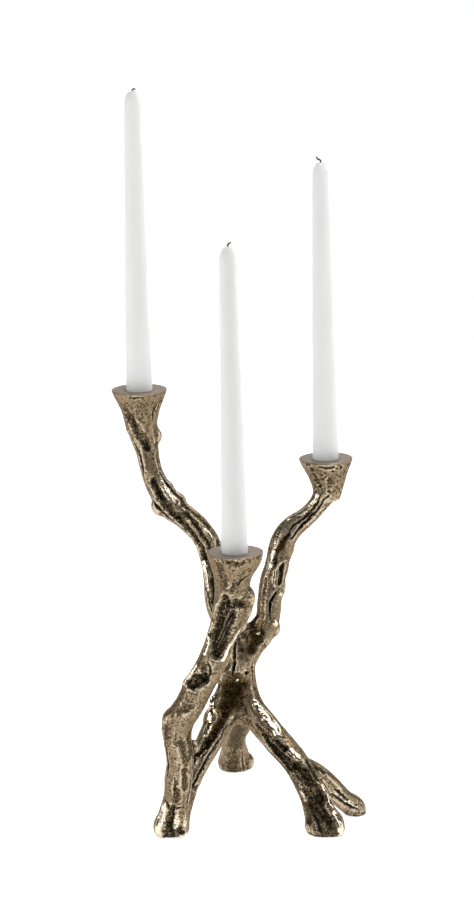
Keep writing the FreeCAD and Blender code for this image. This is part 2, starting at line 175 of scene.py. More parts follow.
MARKS["left"] = [
    ("trough", 1.6, (-0.5, -40, 5), (0.4, -26, 6.5), (1, -8, 7), (1.7, 6, 5.5)),
    ("groove", 1.6, (0.7, -60, 1.8), (1.9, -44, 2), (3, -42, 2.2), (3.8, -56, 1.8)),
    ("rib", 1, (1.6, -22, 2), (2.4, -22, 2.2), (3.2, -24, 2)),
    ("rib", 0.5, (0.4, 38, 2.4), (0.9, 42, 3), (1.5, 46, 2.4)),
    ("groove", 1, (1.6, 62, 1.3), (2.4, 60, 1.4), (3.4, 50, 1.3)),
    ("facet", 0.5, (4.2, 30, 3), (4.9, 33, 5), (5.8, 38, 4)),
    ("groove", 2, (3.6, 46, 2), (4.6, 60, 3), (5.6, 66, 3.4), (6.8, 66, 3)),
    ("groove", 2.2, (4.7, -62, 1.8), (5.4, -42, 2.2), (6.1, -46, 2.2), (6.9, -50, 1.6)),
    ("trough", 1.7, (3.9, -2, 4), (4.6, -6, 6), (5.6, -8, 6), (6.4, -3, 6), (7, 6, 5)),
    ("trough", 2.4, (6.6, -16, 4), (7.5, -26, 5), (8.5, -32, 5.5), (9.6, -36, 5)),
    ("trough", 1.8, (6.8, 30, 3), (7.8, 14, 3.2), (8.7, 4, 3.4), (9.4, 8, 3)),
    ("rib", 1.4, (7, 6, 1.6), (8.1, -8, 1.8), (9, -12, 1.6)),
    ("valley", 1.2, (6.4, 62, 4), (7.4, 64, 5), (8.2, 62, 4.5)),
    ("facet", 0.7, (8.4, 34, 3.6), (8.7, 38, 3.6)), ("hollow", 1.8, (9.1, 58, 2.8), (9.5, 52, 2.6)),
    ("patch", 0.8, (9.7, -30, 5), (10.2, -22, 5)),
    ("facet", 1.2, (9.9, -46, 3), (10.6, -46, 4), (11.3, -40, 3)),
    ("trough", 2.4, (10.2, -2, 4), (11.2, -10, 5), (12.4, -18, 4)),
    ("groove", 1.2, (11.3, -60, 1.8), (11.8, -40, 1.8), (12.4, -38, 1.5)),
    ("groove", 2.8, (13.6, 10, 2), (14.5, -12, 2.6), (15.2, -30, 2.6), (15.8, -34, 2)),
    ("valley", 1, (13, 28, 4), (14.4, 18, 5)), ("groove", 1.4, (3, 150, 1.8), (5, 165, 2), (7, 140, 1.8)),
    ("hollow", 2.4, (8, 170, 5), (8.5, 160, 5)), ("groove", 1.5, (9, 200, 1.8), (11, 185, 2), (13, 170, 1.8)),
    ("trough", 1.6, (0.5, 190, 5), (2, 176, 5.5), (3.6, 184, 5)),
    ("trough", 1.8, (5, 200, 5), (6.4, 190, 5.5), (7.6, 200, 5)),
]
MARKS["right"] = [
    ("facet", 1.2, (1.4, -40, 2), (3, -46, 2.8), (4, -64, 2.4)),
    ("groove", 2, (1.2, -22, 1.6), (2.2, -22, 2), (3, -18, 2), (4.3, -12, 1.9), (5.2, -8, 1.5)),
    ("groove", 2.8, (1, 8, 1.7), (2.6, 6, 2.3), (3.3, 10, 2.4), (4, 20, 2.4), (5, 22, 1.8)),
    ("groove", 1.2, (1, 56, 1.5), (2, 48, 1.7), (3.2, 50, 1.5)),
    ("hollow", 1.8, (0.7, 72, 2.6), (1.1, 74, 2.4)),
    ("glitter", 0.4, (4.4, -62, 4), (5.2, -52, 6), (6.2, -44, 6), (7.2, -40, 4.5)),
    ("brown", 0.4, (4.8, -4, 2.8), (6, -14, 3), (7, -16, 2.8)),
    ("hollow", 2.8, (6.8, 26, 2.2), (7.4, 30, 3.2), (8, 36, 2.6)),
    ("ridge", 1.8, (6.5, 36, 1.6), (6.9, 6, 1.8), (7.4, -8, 2), (7.9, 0, 2.2), (8.2, 14, 1.8)),
    ("knob", 1.3, (8.6, 50, 4)),
    ("groove", 2.4, (8.5, 26, 1.6), (8.9, 8, 2.2), (9.7, 3, 2.2), (10.2, 6, 1.6)),
    ("valley", 0.5, (8, -36, 2.4), (9.4, -32, 3), (10.4, -30, 2.4)),
    ("hollow", 1, (10.2, -68, 2.6), (10.7, -72, 3.4), (11.2, -70, 3)), ("knob", 1.4, (10.2, 42, 4.6)),
    ("brown", 0.8, (10.6, -34, 6), (11.4, -20, 7), (12, -8, 6)), ("glint", 1.8, (11.1, -27, 2.6)),
    ("hollow", 1.4, (13.5, 20, 1.8)), ("groove", 1, (12.6, 34, 1.4), (13.4, 48, 1.6), (14.2, 50, 1.4)),
    ("groove", 1.5, (2, 150, 1.8), (4, 175, 2), (6, 160, 1.8)), ("hollow", 2.4, (7, 175, 4), (8, 165, 5)),
    ("groove", 1.5, (9, 200, 1.8), (11, 180, 2.2), (13, 165, 1.8)),
]
MARKS["left_root"] = [
    ("brown", 3.6, (1.5, -4, 9), (2, -10, 14), (3, 0, 13), (3.6, -6, 9), (4.3, -4, 6), (5, -10, 5),
     (5.7, -16, 4)), ("ridge", 1.4, (2.6, -76, 2.4), (3.4, -72, 2.6)),
    ("facet", 1, (3.2, -72, 3), (4, -54, 4), (4.7, -42, 4), (5.2, -46, 3)), ("facet", 1, (1.5, 2, 2.2)),
    ("trough", 1.8, (5.4, -30, 4), (6.2, -26, 5), (7.2, -20, 4.5)),
    ("groove", 2.1, (4.2, 26, 1.5), (5, 26, 1.8), (5.8, 24, 1.9), (6.6, 24, 1.9), (7.5, 21, 1.8),
     (8.3, 20, 1.4)), ("groove", 1.2, (4.6, 4, 1.4), (5.6, 2, 1.6), (6.4, 0, 1.4)),
    ("valley", 1.6, (5.4, -26, 3.6), (6.2, -28, 4.2), (7.3, -14, 3.6)),
    ("groove", 1.3, (3, 150, 1.8), (5, 165, 2), (7, 150, 1.8)),
]
MARKS["right_root"] = [
    ("facet", 1.2, (3.1, 34, 4), (3.8, 44, 6.5), (4.6, 46, 6.5), (5.1, 40, 5)),
    ("groove", 0.7, (3.5, 26, 1.2), (4, 34, 1.6), (4.3, 44, 1.2)),
    ("patch", 0.7, (4.3, 60, 1.8), (4.9, 54, 2.4), (5.4, 46, 3)),
    ("hollow", 1.6, (5.4, 10, 2.6), (6, 12, 3.4)), ("facet", 1.2, (6.3, 28, 4), (6.8, 34, 4.2)),
    ("valley", 0.8, (4.1, -8, 2.6), (4.7, -6, 3.4), (5.4, 2, 3.4)),
    ("rib", 0.5, (2.2, 26, 5), (3, 24, 6.5), (3.7, 14, 5.5)),
    ("hollow", 2, (4.6, -16, 1.8), (5.3, -22, 3), (6.1, -20, 5), (7, -16, 6)),
    ("groove", 1.2, (4.5, -60, 1.4), (5.6, -55, 1.6), (6.8, -55, 1.6), (7.8, -50, 1.4)),
    ("groove", 0.9, (5.4, -36, 1.2), (6.4, -38, 1.4), (7.4, -32, 1.2)),
    # These two sunk marks are darkened as a painted dark reflection on the foot's front.
    ("dark_reflection_dent", 3, (7.2, 4, 7.5), (7.8, 16, 9.5), (8.6, 22, 9.5), (9.2, 20, 8)),
    ("dark_reflection_dent", 2, (9.3, -4, 9), (10.2, -2, 12), (11.2, 0, 14), (11.8, 0, 14)),
    ("rib", 1.6, (8.4, -34, 3), (8.9, -30, 3.4)), ("rib", 1.4, (8.9, 0, 1.4), (9.6, 8, 1.8), (10.1, 16, 1.4)),
    ("rib", 1, (10.4, -20, 3), (11, -24, 3)), ("trough", 1, (7.1, 58, 3), (7.7, 64, 4), (8.2, 66, 3)),
    ("facet", 1.8, (8.6, 74, 3), (9.2, 66, 4), (9.8, 58, 3.4)), ("facet", 1.4, (10.4, 54, 4), (11.3, 50, 5)),
    ("groove", 1.3, (4, 160, 1.8), (6, 175, 2), (8, 160, 1.8)), ("hollow", 1.8, (9.5, 175, 5), (10, 170, 5)),
    ("patch", 0.4, (6.8, -42, 4), (8, -42, 5), (9.2, -42, 5), (10.2, -46, 5)),
]
MARKS["back_root"] = [
    ("groove", 1, (5.35, -44, 1.1), (5.45, 0, 1.4), (5.35, 50, 1.1)),
    # The wide patches here are painted shade over the back root's front.
    ("patch", 0.6, (5.7, -6, 8), (6.6, -6, 9)), ("patch", 0.3, (2.6, -30, 13), (4, 0, 14), (5.1, 0, 12)),
    ("patch", 0.2, (3.4, 0, 10), (4.4, 0, 11), (5.2, 0, 10)),
    ("groove", 1, (5.7, 46, 1.3), (6.5, 36, 1.5), (7.6, 30, 1.3)),
    ("groove", 1.4, (2.5, 160, 1.8), (4.5, 185, 2.2), (6.5, 170, 1.8)),
    ("groove", 1.1, (3, 120, 1.6), (4.6, 110, 1.8), (6.2, 120, 1.6)),
    ("hollow", 2, (4.2, 200, 5), (4.6, 205, 5)),
]
MARKS["spur"] = [
    ("groove", 1.8, (1, -4, 1.8), (1.8, 2, 2.2), (2.6, -16, 2.2), (3.1, -42, 1.8)),
    ("patch", 0.9, (1.2, 58, 3), (1.9, 55, 3)), ("ridge", 0.9, (2.1, 46, 2.2), (2.7, 46, 3), (3.2, 42, 2.2)),
    ("groove", 1.5, (2.8, 18, 1.6), (3.4, 22, 1.8), (4, 26, 1.5)),
    ("groove", 1.6, (2.9, -12, 1.5), (3.6, -6, 1.9), (4.5, 8, 1.9), (5, 24, 1.5)),
    ("glitter", 0.3, (3.2, 4, 3), (4.2, 12, 4), (4.8, 24, 3.4)),
    ("patch", 0.6, (3.1, -20, 3.4), (3.7, 0, 3.4)),
    ("groove", 1.2, (2.5, 160, 1.6), (3.5, 175, 1.8), (4.5, 160, 1.6)),
]
MARKS["left cup"] = [
    # The first patch is painted shade on the rim's front, below the taper.
    ("patch", 0.6, (2.4, -20, 1), (3.4, -8, 2.2), (2.8, 2, 1.4), (3.6, 10, 1.8)),
    ("pock", 0.9, (9, -30, 1.4)), ("pock", 0.8, (12, -26, 1.3)), ("pock", 0.8, (12.5, -12, 1.3)),
    ("valley", 0.9, (16, -42, 4.5), (26, -36, 5.5)),
    ("groove", 1.2, (9, 52, 1.4), (16, 42, 1.6), (27, 42, 1.5)),
    ("groove", 0.9, (7, 62, 1.3), (13, 56, 1.5), (20, 54, 1.3)),
]
MARKS["front cup"] = [
    ("patch", 0.6, (3.6, -18, 2.6), (6, 0, 4.4), (3.8, 18, 2.6)), ("pock", 0.9, (5.4, 2, 1.6)),
    ("pock", 0.7, (3.6, -48, 1.3)), ("valley", 0.8, (8, -38, 6), (16, -34, 7), (25, -28, 6)),
    ("valley", 0.5, (22, 24, 2.2), (27, 8, 3), (32, -4, 3)),
    ("groove", 0.7, (18, 34, 1.3), (24, 22, 1.5), (30, 16, 1.3)),
]
MARKS["right cup"] = [
    ("patch", 0.7, (3.6, -18, 1.8), (4.2, -2, 2), (3.6, 14, 1.8)), ("pock", 1, (7, -36, 3)),
    ("pock", 1, (5.4, 34, 2.4)), ("patch", 0.6, (16, 12, 5), (20, 8, 5)), ("pock", 1.2, (21, -32, 1.5)),
    ("pock", 1, (24, -28, 2.2)), ("pock", 1.7, (29, 4, 1.8)), ("valley", 0.8, (12, -38, 3), (20, -34, 3)),
]

# Each kind of mark: 1 to stand out or -1 to sink in, the flat share of its width, how much dark patina
# (painted shade on some marks), how much polish with a painted highlight, and how brown it is.
KINDS = {
    "groove": (-1, 0.0, 1.3, 0.0, 0.0),
    "hollow": (-1, 0.45, 1.5, 0.0, 0.0),
    "trough": (-1, 0.1, 1.1, 0.0, 0.0),
    "valley": (-1, 0.1, 0.45, 0.0, 0.0),
    "pock": (-1, 0.1, 1.0, 0.0, 0.0),
    "brown": (-1, 0.15, 0.25, 0.0, 1.3),
    "patch": (-1, 0.2, 0.6, 0.0, 0.0),
    "rib": (1, 0.1, -0.5, 0.3, 0.0),
    "ridge": (1, 0.1, -0.6, 0.65, 0.0),
    "facet": (1, 0.5, -0.9, 0.95, 0.0),
    "knob": (1, 0.2, -0.6, 0.9, 0.0),
    "glint": (1, 0.2, -0.9, 1.0, -0.9),
    "glitter": (-1, 0.3, 0.35, 0.9, 0.0),
    "dark_reflection_dent": (-1, 0.3, 1.5, 0.0, 0.3),
}

# Small round casting pits: how many on each limb or cup, and how deep the deepest is.
PITS = {
    "front": (60, 0.5), "left": (60, 0.5), "right": (50, 0.5), "left_root": (30, 0.4),
    "right_root": (50, 0.5), "back_root": (40, 0.5), "spur": (24, 0.5), "left cup": (80, 0.6),
    "front cup": (80, 0.4), "right cup": (150, 0.8),
}

# The planes where one casting meets the next: a limb and a station on it.
JOINTS = [("left", 13), ("right", 10), ("left_root", 4), ("left_root", 6), ("right_root", 4),
          ("back_root", 3), ("spur", 2)]

# A place inside each casting: a limb and a station, or a cup and a depth.
CASTINGS = {
    "trunk": ("left", 15), "branch_left": ("left", 6), "branch_front": ("front", 5),
    "branch_right": ("right", 6), "root_left": ("left_root", 5), "root_right": ("right_root", 8),
    "root_back": ("back_root", 6), "root_spur": ("spur", 4), "cup_left": ("left cup", 28),
    "cup_front": ("front cup", 28), "cup_right": ("right cup", 28),
}

# The burnt end of each wick, as arcs in the XZ plane: (radius, degrees, 1 to turn right or -1 to turn left).
WICK_ENDS = {
    "left": [(1.3, 150, 1)],
    "front": [(3.0, 85, 1)],
    "right": [(2.6, 80, -1), (1.7, 105, 1)],
}


# ---- meshes

def new_object(name, mesh):
    obj = bpy.data.objects.new(name, mesh)
    bpy.context.scene.collection.objects.link(obj)
    return obj


def smooth_mesh(name, points, faces):
    mesh = bpy.data.meshes.new(name)
    mesh.from_pydata([tuple(p) for p in points], [], faces)
    mesh.shade_smooth()
    mesh.update()
    return mesh


def mesh_of(name, points, faces):
    """A smooth mesh from points in millimetres on the centre lines' coordinates."""
    return smooth_mesh(name, (np.array(points, float) + SHIFT) * MM, faces)


def unit(ways):
    """The same ways, each with a length of 1."""
    return ways / np.linalg.norm(ways, axis=-1, keepdims=True)


def circle(sides):
    """The angles of even steps round a circle."""
    return np.linspace(0, 2 * math.pi, sides, endpoint=False)


def loft(rings):
    """Points and faces of a closed skin through rings that have the same number of points."""
    points = [p for ring in rings for p in ring]
    n = len(rings[0])
    faces = []
    for k in range(len(rings) - 1):
        for i in range(n):
            a, b = k * n + i, k * n + (i + 1) % n
            faces.append((a, b, b + n, a + n))
    faces.append(tuple(reversed(range(n))))
    faces.append(tuple(range((len(rings) - 1) * n, len(rings) * n)))
    return points, faces


def smooth_path(stations, step=2.5):
    """Points every step or so along a smooth curve through the stations, each with its radius."""
    s = np.array(stations, float)
    s = np.vstack([2 * s[0] - s[1], s, 2 * s[-1] - s[-2]])
    rows = []
    for k in range(1, len(s) - 2):
        a, b, c, d = s[k - 1:k + 3]
        count = max(2, int(np.linalg.norm((c - b)[:3]) / step))
        for t in np.arange(count) / count:
            rows.append(0.5 * (2 * b + (c - a) * t + (2 * a - 5 * b + 4 * c - d) * t ** 2
                               + (3 * b - a - 3 * c + d) * t ** 3))
    rows.append(s[-2])
    return np.array(rows)


def directions(path):
    return unit(np.gradient(path[:, :3], axis=0))


def run_along(path):
    """How far along the path each of its points is."""
    return np.concatenate([[0], np.cumsum(np.linalg.norm(np.diff(path[:, :3], axis=0), axis=1))])


def tube(stations, sides=28):
    path = smooth_path(stations)
    rings = []
    across = np.array([0.0, 1.0, 0.0])
    for row, way in zip(path, directions(path)):
        across = unit(across - way * across.dot(way))
        other = np.cross(way, across)
        rings.append([row[:3] + row[3] * (math.cos(a) * across + math.sin(a) * other) for a in circle(sides)])
    return loft(rings)


# What is added to a cup's outline above its rim and below its last point.
CUP_ABOVE = (-4, 0, 0.8)
CUP_BELOW = (8, -0.5, -2)


def cup_solid(centre, outline, sides=48):
    """The cup's outside, which starts above its rim so that the rim can be cut flat later."""
    rings = []
    outline = np.array(outline, float)
    for depth, shift, radius in [outline[0] + CUP_ABOVE, *outline, outline[-1] + CUP_BELOW]:
        middle = np.array(centre, float) + (shift, 0, -depth)
        rings.append([middle + radius * np.array([math.cos(-a), math.sin(-a), 0]) for a in circle(sides)])
    return loft(rings)


def ball(place, radius, shares=(1, 1, 1), level=3):
    bm = bmesh.new()
    bmesh.ops.create_icosphere(bm, subdivisions=level, radius=radius)
    points = [np.array(v.co) * shares + place for v in bm.verts]
    faces = [tuple(v.index for v in f.verts) for f in bm.faces]
    bm.free()
    return points, faces


def joined(parts):
    points, faces = [], []
    for part_points, part_faces in parts:
        faces += [tuple(i + len(points) for i in f) for f in part_faces]
        points += part_points
    return points, faces


def remeshed(mesh, voxel):
    """The mesh rebuilt as one skin of even quads."""
    obj = new_object("remesh", mesh)
    change = obj.modifiers.new("voxels", "REMESH")
    change.mode = "VOXEL"
    change.voxel_size = voxel * MM
    change.use_smooth_shade = True
    bpy.context.view_layer.update()
    view = bpy.context.evaluated_depsgraph_get()
    result = bpy.data.meshes.new_from_object(obj.evaluated_get(view))
    bpy.data.objects.remove(obj)
    bpy.data.meshes.remove(mesh)
    return result


def read(items, name, width, kind=np.float32):
    """One property of a mesh's vertices or edges, in rows that wide."""
    flat = np.zeros(len(items) * width, kind)
    items.foreach_get(name, flat)
    return flat.reshape(-1, width)


def coordinates(mesh):
    """The vertices in millimetres on the centre lines' coordinates."""
    return read(mesh.vertices, "co", 3).astype(float) / MM - SHIFT


def set_coordinates(mesh, points):
    mesh.vertices.foreach_set("co", ((points + SHIFT) * MM).astype(np.float32).ravel())
    mesh.update()


def normals_of(mesh):
    return read(mesh.vertex_normals, "vector", 3).astype(float)


def neighbours(mesh):
    """The two ends of each edge, and each vertex's number of edges."""
    ends = read(mesh.edges, "vertices", 2, np.int32)
    return ends, np.bincount(ends.ravel(), minlength=len(mesh.vertices))


def relaxed(values, links, times, strength=0.5, back=0.0):
    """Values moved towards the mean of their neighbours, and a share back so that nothing shrinks."""
    ends, counts = links
    values = values.copy()
    for _ in range(times):
        for share in (strength, -back):
            if share:
                total = np.zeros_like(values)
                for axis in range(values.shape[1]):
                    total[:, axis] = (np.bincount(ends[:, 0], values[ends[:, 1], axis], len(values))
                                      + np.bincount(ends[:, 1], values[ends[:, 0], axis], len(values)))
                values += share * (total / np.maximum(counts, 1)[:, None] - values)
    return values


def rounds(reach):
    """How many rounds of relaxing reach over the same area of skin at any voxel size."""
    return max(1, round(reach / SKIN_VOXEL ** 2))


def step(low, high, values):
    """A smooth step from 0 at low to 1 at high."""
    t = np.clip((values - low) / (high - low), 0, 1)
    return t * t * (3 - 2 * t)


# ---- places on the castings

TOWARDS_VIEWER = np.array([0.0, -1.0, 0.0])
PATHS = {name: smooth_path(stations) for name, stations in LIMBS.items()}


def limb_place(name, station, angle):
    """A point on a limb's nominal surface, and the way out of the limb there."""
    stations = np.array(LIMBS[name], float)
    row = np.array([np.interp(station, range(len(stations)), stations[:, axis]) for axis in range(4)])
    first = min(max(int(station), 0), len(stations) - 2)
    way = unit((stations[first + 1] - stations[first])[:3])
    front = unit(TOWARDS_VIEWER - way * way.dot(TOWARDS_VIEWER))
    out = math.cos(angle) * front + math.sin(angle) * np.cross(front, way)
    return row[:3] + out * row[3], out


def cup_place(name, depth, angle):
    """A point on a cup's nominal surface, and the way out of the cup there."""
    rim, _, outline = CUPS[name]
    depths, shifts, radii = zip(*outline)
    out = np.array([math.sin(angle), -math.cos(angle), 0.0])
    middle = np.array(rim, float) + (np.interp(depth, depths, shifts), 0, -depth)
    return middle + out * np.interp(depth, depths, radii), out


def place_on(name, station, degrees):
    angle = math.radians(degrees)
    if name.endswith(" cup"):
        return cup_place(name[:-4], station, angle)
    return limb_place(name, station, angle)


def spread(points, parts=5):
    """A mark's points with more between them, so that it follows the round surface."""
    points = np.array(points, float)
    steps = np.linspace(0, len(points) - 1, (len(points) - 1) * parts + 1)
    return np.array([[np.interp(s, range(len(points)), points[:, i]) for i in range(3)] for s in steps])


# ---- noise

NOISE_HEIGHT = 1.6


def gradient_noise(points, size, seed):
    """Smooth noise from -1 to 1 or so, whose waves are about size long."""
    draw = np.random.default_rng(seed)
    order = draw.permutation(256)
    ways = unit(draw.normal(size=(256, 3)))
    place = points / size
    cell = np.floor(place).astype(int)
    inside = place - cell
    ease = inside ** 3 * (inside * (inside * 6 - 15) + 10)
    total = np.zeros(len(points))
    for corner in np.ndindex(2, 2, 2):
        key = (cell + corner) & 255
        way = ways[order[(order[(order[key[:, 0]] + key[:, 1]) & 255] + key[:, 2]) & 255]]
        share = np.prod(np.where(corner, ease, 1 - ease), axis=1)
        total += share * np.einsum("ij,ij->i", way, inside - corner)
    return total * NOISE_HEIGHT


def layered(points, layers):
    """The sum of several noises, each one's height, size and seed given."""
    return sum(height * gradient_noise(points, size, seed) for height, size, seed in layers)


def within(points, line, reach):
    """The vertices in the box that the line needs with that much room round it."""
    low, high = line.min(axis=0) - reach, line.max(axis=0) + reach
    return np.where(np.all((points > low) & (points < high), axis=1))[0]


# A vertex is fully its limb's up to LIMB_SKIN of the radius, and not at all LIMB_END outside it.
LIMB_ROOM = 25.0
LIMB_SKIN = 0.95
LIMB_END = 9.0
STREAK_STRETCH = 5.5


def along_limbs(points):
    """Each vertex's place along and round its limb, and how much it is a limb's rather than a cup's."""
    total = np.zeros((len(points), 3))
    weight = np.full(len(points), 1e-6)
    for path in PATHS.values():
        run = run_along(path)
        near = within(points, path[:, :3], LIMB_ROOM)
        best = ((points[near, None, :] - path[None, :, :3]) ** 2).sum(axis=2).argmin(axis=1)
        out = points[near] - path[best, :3]
        distance = np.linalg.norm(out, axis=1)
        share = np.exp(-5 * np.maximum(distance / path[best, 3] - LIMB_SKIN, 0))
        share[distance > path[best, 3] + LIMB_END] = 0
        streak = np.column_stack([run[best] / STREAK_STRETCH, out[:, 0], out[:, 2] * 0.6 + out[:, 1]])
        total[near] += share[:, None] * streak
        weight[near] += share
    return total / weight[:, None], np.clip(weight, 0, 1)


# ---- the castings

JUNCTION_ROUNDS = 14


def rough_body():
    """The limbs, cups and burls as one skin, with their junctions rounded."""
    parts = [tube(stations) for stations in LIMBS.values()]
    parts += [cup_solid(centre, outline) for centre, _, outline in CUPS.values()]
    parts += [ball(*burl) for burl in BURLS]
    mesh = remeshed(mesh_of("body", *joined(parts)), BODY_VOXEL)
    points = relaxed(coordinates(mesh), neighbours(mesh), JUNCTION_ROUNDS, 0.6, 0.56)
    set_coordinates(mesh, points)
    return mesh


# How far a mark's darkening goes, as a share of its width, and how much of its relief's flat part is
# darkened.
DARKENING_REACH = 1.3
DARKENING_FLAT = 0.8
BEYOND = 9.0


def near_line(points, line, widths, flat):
    """The vertices that a mark reaches, and how strong its relief and its colour mask are there, from 0 to 1.
    """
    near = within(points, line, widths.max() * DARKENING_REACH)
    best = np.full(len(near), BEYOND)
    starts, stops = (line[:-1], line[1:]) if len(line) > 1 else (line, line)
    for k, (start, stop) in enumerate(zip(starts, stops)):
        run = stop - start
        t = np.clip((points[near] - start) @ run / max(run @ run, 1e-9), 0, 1)
        distance = np.linalg.norm(points[near] - start - t[:, None] * run, axis=1)
        width = widths[k] + t * (widths[min(k + 1, len(widths) - 1)] - widths[k])
        best = np.minimum(best, distance / width)
    return near, 1 - step(flat, 1.0, best), 1 - step(flat * DARKENING_FLAT, DARKENING_REACH, best)


PROBE_START = 11.0
PROBE_LENGTH = 26.0


def on_skin(skin, name, station, degrees):
    """The place where a line from outside towards the limb or cup meets the skin."""
    place, out = place_on(name, station, degrees)
    hit = skin.ray_cast(Vector(place + out * PROBE_START), Vector(-out), PROBE_LENGTH)[0]
    return hit or skin.find_nearest(Vector(place))[0]


def carve(points, skin, sunk, looks):
    """Adds every mark's height to sunk, and its darkening (patina, painted shade on some marks), its polish
    and painted highlight, and its brown to the looks.
    """
    warp = [layered(points, [(1.0, 7, 30 + k), (0.5, 3.2, 33 + k)]) for k in range(3)]
    warped = points + np.column_stack(warp)
    fading = np.clip(0.95 + layered(points, [(0.4, 8, 36)]), 0.7, 1.15)
    rough = layered(points, [(0.5, 2.6, 37)])
    for name, marks in MARKS.items():
        for kind, depth, *places in marks:
            side, flat, patina_and_shade, polish_and_highlight, brown = KINDS[kind]
            rows = spread(places)
            line = [on_skin(skin, name, s, a) for s, a, _ in rows]
            widths = rows[:, 2].copy()
            if kind == "groove":
                widths *= 0.45 + 0.55 * np.sin(np.linspace(0.1, math.pi - 0.1, len(widths)))
            near, relief, colour = near_line(warped, np.array(line), widths, flat)
            sunk[near] += relief * (side * depth * fading[near] + 0.6 * abs(patina_and_shade) * rough[near])
            for look, amount in zip(looks, (patina_and_shade, polish_and_highlight, brown)):
                look[near] += amount * colour * fading[near]


PIT_RADII = (0.9, 1.9)
PIT_FLAT = 0.1


def add_pits(points, skin, sunk, patina_and_shade):
    draw = random.Random(7)
    for name, (count, deepest) in PITS.items():
        last = CUP_HEIGHT if name.endswith(" cup") else len(LIMBS[name]) - 1.5
        for _ in range(count):
            place, _ = place_on(name, draw.uniform(0.5, last), draw.uniform(0, 360))
            spot = np.array(skin.find_nearest(Vector(place))[0])
            size = draw.uniform(*PIT_RADII)
            near, relief, colour = near_line(points, spot[None, :], np.array([size]), PIT_FLAT)
            depth = deepest * draw.uniform(0.4, 1.0)
            sunk[near] -= depth * relief
            patina_and_shade[near] += depth * colour


# Lumps all over the skin: the height, the size and the seed.
LUMPS = [(0.5, 24, 1), (0.3, 10, 2)]
FINE_LUMPS = [(0.08, 3.6, 5), (0.05, 2.0, 6)]
CRACK_SHARE = 0.22
FOOT_DARKENING_HEIGHTS = (1.5, 7)

# How far the skin, its normals and its worn places are smoothed, and how far round a vertex its hollow is
# measured, nearby and widely, with the depth in millimetres that counts as one.
SKIN_EASE, NORMAL_EASE, WORN_EASE = 4, 6, 34
HOLLOWS = [(7, 0.16), (65, 1.3)]


def sculpted(mesh):
    """The skin with its marks, lumps, bark and pits, and what the metal's material needs to know."""
    links = neighbours(mesh)
    points = relaxed(coordinates(mesh), links, rounds(SKIN_EASE), 0.5, 0.52)
    set_coordinates(mesh, points)
    normals = unit(relaxed(normals_of(mesh), links, rounds(NORMAL_EASE)))
    skin = BVHTree.FromPolygons([Vector(p) for p in points], [tuple(f.vertices) for f in mesh.polygons])
    streaks, limbness = along_limbs(points)
    grain = gradient_noise(streaks, 5.2, 3)
    crack = np.maximum(0, 1 - np.abs(gradient_noise(streaks, 6.5, 4)) / CRACK_SHARE)
    bark = 0.35 * grain - 0.25 * crack
    sunk = (0.35 + 0.65 * limbness) * (layered(points, LUMPS) + 0.8 * bark) + layered(points, FINE_LUMPS)
    looks = [np.zeros(len(points)) for _ in range(3)]
    # Darker towards the bottom of the feet.
    looks[0] += 0.6 * (1 - step(*FOOT_DARKENING_HEIGHTS, points[:, 2]))
    carve(points, skin, sunk, looks)
    add_pits(points, skin, sunk, looks[0])
    points = relaxed(points + normals * sunk[:, None], links, 1, 0.35)
    worn = np.clip(1.4 * looks[2], 0, 1)[:, None]
    points += worn * (relaxed(points, links, rounds(WORN_EASE)) - points)
    set_coordinates(mesh, points)
    normals = normals_of(mesh)
    hollow = sum(np.einsum("ij,ij->i", relaxed(points, links, rounds(reach)) - points, normals) / depth
                 for reach, depth in HOLLOWS)
    store(mesh, "hollow", np.clip(hollow, -1.5, 1.5))
    for name, values, lowest in zip(("patina_and_shade", "polish_and_highlight", "brown", "grain"), (*looks, grain), (-1, 0, 0, -1)):
        store(mesh, name, np.clip(values, lowest, 1))
    store(mesh, "machined", np.zeros(len(points)))
    return mesh


def store(mesh, name, values):
    mesh.attributes.new(name, "FLOAT", "POINT").data.foreach_set("value", values.astype(np.float32))


# ---- cutting the castings apart

def in_frame(place):
    return Vector((np.array(place, float) + SHIFT) * MM)


def connected(edges):
    """The edges in groups that hang together."""
    left, groups = set(edges), []
    for seed in edges:
        if seed not in left:
            continue
        left.remove(seed)
        group = [seed]
        for edge in group:
            reached = [e for v in edge.verts for e in v.link_edges if e in left]
            left.difference_update(reached)
            group += dict.fromkeys(reached)
        groups.append(group)
    return groups


# The fewest edges that a cut's loop has, and how far round its place each kind of cut reaches.
SHORTEST_LOOP = 12
RIM_REACH, FOOT_REACH, SEAM_REACH, JOINT_REACH = 40.0, 32.0, 24.0, 22.0


def cut_loop(bm, place, normal, reach, clear):
    """Cuts the skin near place along a plane, and gives the edges of the cut's loop nearest to place."""
    centre = in_frame(place)
    parts = [f for f in bm.faces if (f.calc_center_median() - centre).length < reach * MM]
    parts = dict.fromkeys(parts + [part for f in parts for part in (*f.edges, *f.verts)])
    cut = bmesh.ops.bisect_plane(bm, geom=list(parts), plane_co=centre, plane_no=normal, clear_outer=clear)
    loops = connected([e for e in cut["geom_cut"] if isinstance(e, bmesh.types.BMEdge)])
    loops = [loop for loop in loops if len(loop) > SHORTEST_LOOP]
    return min(loops, key=lambda loop: min((v.co - centre).length for e in loop for v in e.verts))


def in_order(edges):
    """The vertices of a closed loop of edges, one after the other."""
    links = {}
    for edge in edges:
        for vert in edge.verts:
            links.setdefault(vert, []).append(edge)
    start = edges[0].verts[0]
    order, vert, edge = [start], edges[0].verts[1], edges[0]
    while vert is not start:
        order.append(vert)
        edge = next(e for e in links[vert] if e is not edge)
        vert = edge.other_vert(vert)
    return order


